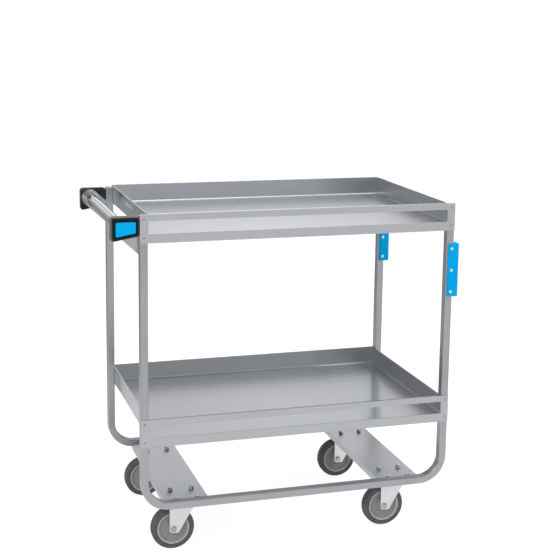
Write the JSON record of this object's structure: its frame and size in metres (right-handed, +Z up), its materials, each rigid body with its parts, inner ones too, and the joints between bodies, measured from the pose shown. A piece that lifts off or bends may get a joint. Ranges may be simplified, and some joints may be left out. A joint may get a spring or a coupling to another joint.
{
  "type": "utility cart",
  "caption": "Steel service cart with open trays on bent-tube frames, a slotted guard along each front, a push bar, corner bumpers and swivel casters.",
  "frame": {"origin": "on the ground, at the middle of the whole cart's length and depth", "axes": "+X along the cart, away from the push bar; -Y towards the front that the guards close; +Z up"},
  "size_m": [1.0306, 0.58, 1],
  "materials": {
    "frame_tube": "lengthwise satin brushing",
    "tray_sheet": "fine satin brushing, soft reflections",
    "guard_sheet": "lengthwise satin brushing",
    "channel_sheet": "satin",
    "bar_tube": "polished tube",
    "arm_plate": "satin",
    "fastener": "bright plated",
    "housing": "fine-textured dark grey",
    "inset": "smooth bright blue",
    "bumper": "smooth bright blue",
    "caster_metal": "bright zinc plate",
    "caster_hub": "warm grey moulded plastic",
    "caster_bush": "plain turned steel",
    "tyre": "dark grey rubber"
  },
  "bodies": {
    "cart": {"front_frame": "frame_tube", "back_frame": "frame_tube", "leg_caps": "frame_tube", "upper_tray": "tray_sheet", "lower_tray": "tray_sheet", "upper_guard": "guard_sheet", "lower_guard": "guard_sheet", "guard_rivets": "fastener", "left_channel": "channel_sheet", "right_channel": "channel_sheet", "push_bar": "bar_tube", "bar_flange_front": "bar_tube", "bar_flange_back": "bar_tube", "bar_arm_front": "arm_plate", "bar_arm_back": "arm_plate", "housing_front": "housing", "housing_back": "housing", "inset_front": "inset", "inset_back": "inset", "flange_screws": "fastener", "arm_rivets": "fastener", "bumper_front": "bumper", "bumper_back": "bumper", "bumper_screws": "fastener", "caster_plate_fl": "caster_metal", "caster_plate_fr": "caster_metal", "caster_plate_bl": "caster_metal", "caster_plate_br": "caster_metal", "king_pins": "caster_metal", "caster_bolts": "caster_metal", "caster_nuts": "caster_metal"},
    "swivel_fl": {"fork_fl": "caster_metal", "axle_bolt_fl": "caster_metal", "axle_nut_fl": "caster_metal"},
    "wheel_fl": {"hub_fl": "caster_hub", "bush_fl": "caster_bush", "tyre_fl": "tyre"},
    "swivel_fr": {"fork_fr": "caster_metal", "axle_bolt_fr": "caster_metal", "axle_nut_fr": "caster_metal"},
    "wheel_fr": {"hub_fr": "caster_hub", "bush_fr": "caster_bush", "tyre_fr": "tyre"},
    "swivel_bl": {"fork_bl": "caster_metal", "axle_bolt_bl": "caster_metal", "axle_nut_bl": "caster_metal"},
    "wheel_bl": {"hub_bl": "caster_hub", "bush_bl": "caster_bush", "tyre_bl": "tyre"},
    "swivel_br": {"fork_br": "caster_metal", "axle_bolt_br": "caster_metal", "axle_nut_br": "caster_metal"},
    "wheel_br": {"hub_br": "caster_hub", "bush_br": "caster_bush", "tyre_br": "tyre"}
  },
  "joints": [
    {"name": "swivel_turn_fl", "type": "hinge", "parent": "cart", "child": "swivel_fl", "pos_m": [-0.29595, -0.2094, 0.15], "axis": [0, 0, 1], "continuous": true},
    {"name": "wheel_spin_fl", "type": "hinge", "parent": "swivel_fl", "child": "wheel_fl", "pos_m": [-0.32995, -0.2094, 0.0635], "axis": [0, 1, 0], "continuous": true},
    {"name": "swivel_turn_fr", "type": "hinge", "parent": "cart", "child": "swivel_fr", "pos_m": [0.35845, -0.2094, 0.15], "axis": [0, 0, 1], "continuous": true},
    {"name": "wheel_spin_fr", "type": "hinge", "parent": "swivel_fr", "child": "wheel_fr", "pos_m": [0.32445, -0.2094, 0.0635], "axis": [0, 1, 0], "continuous": true},
    {"name": "swivel_turn_bl", "type": "hinge", "parent": "cart", "child": "swivel_bl", "pos_m": [-0.29595, 0.2094, 0.15], "axis": [0, 0, 1], "continuous": true},
    {"name": "wheel_spin_bl", "type": "hinge", "parent": "swivel_bl", "child": "wheel_bl", "pos_m": [-0.32995, 0.2094, 0.0635], "axis": [0, 1, 0], "continuous": true},
    {"name": "swivel_turn_br", "type": "hinge", "parent": "cart", "child": "swivel_br", "pos_m": [0.35845, 0.2094, 0.15], "axis": [0, 0, 1], "continuous": true},
    {"name": "wheel_spin_br", "type": "hinge", "parent": "swivel_br", "child": "wheel_br", "pos_m": [0.32445, 0.2094, 0.0635], "axis": [0, 1, 0], "continuous": true}
  ]
}
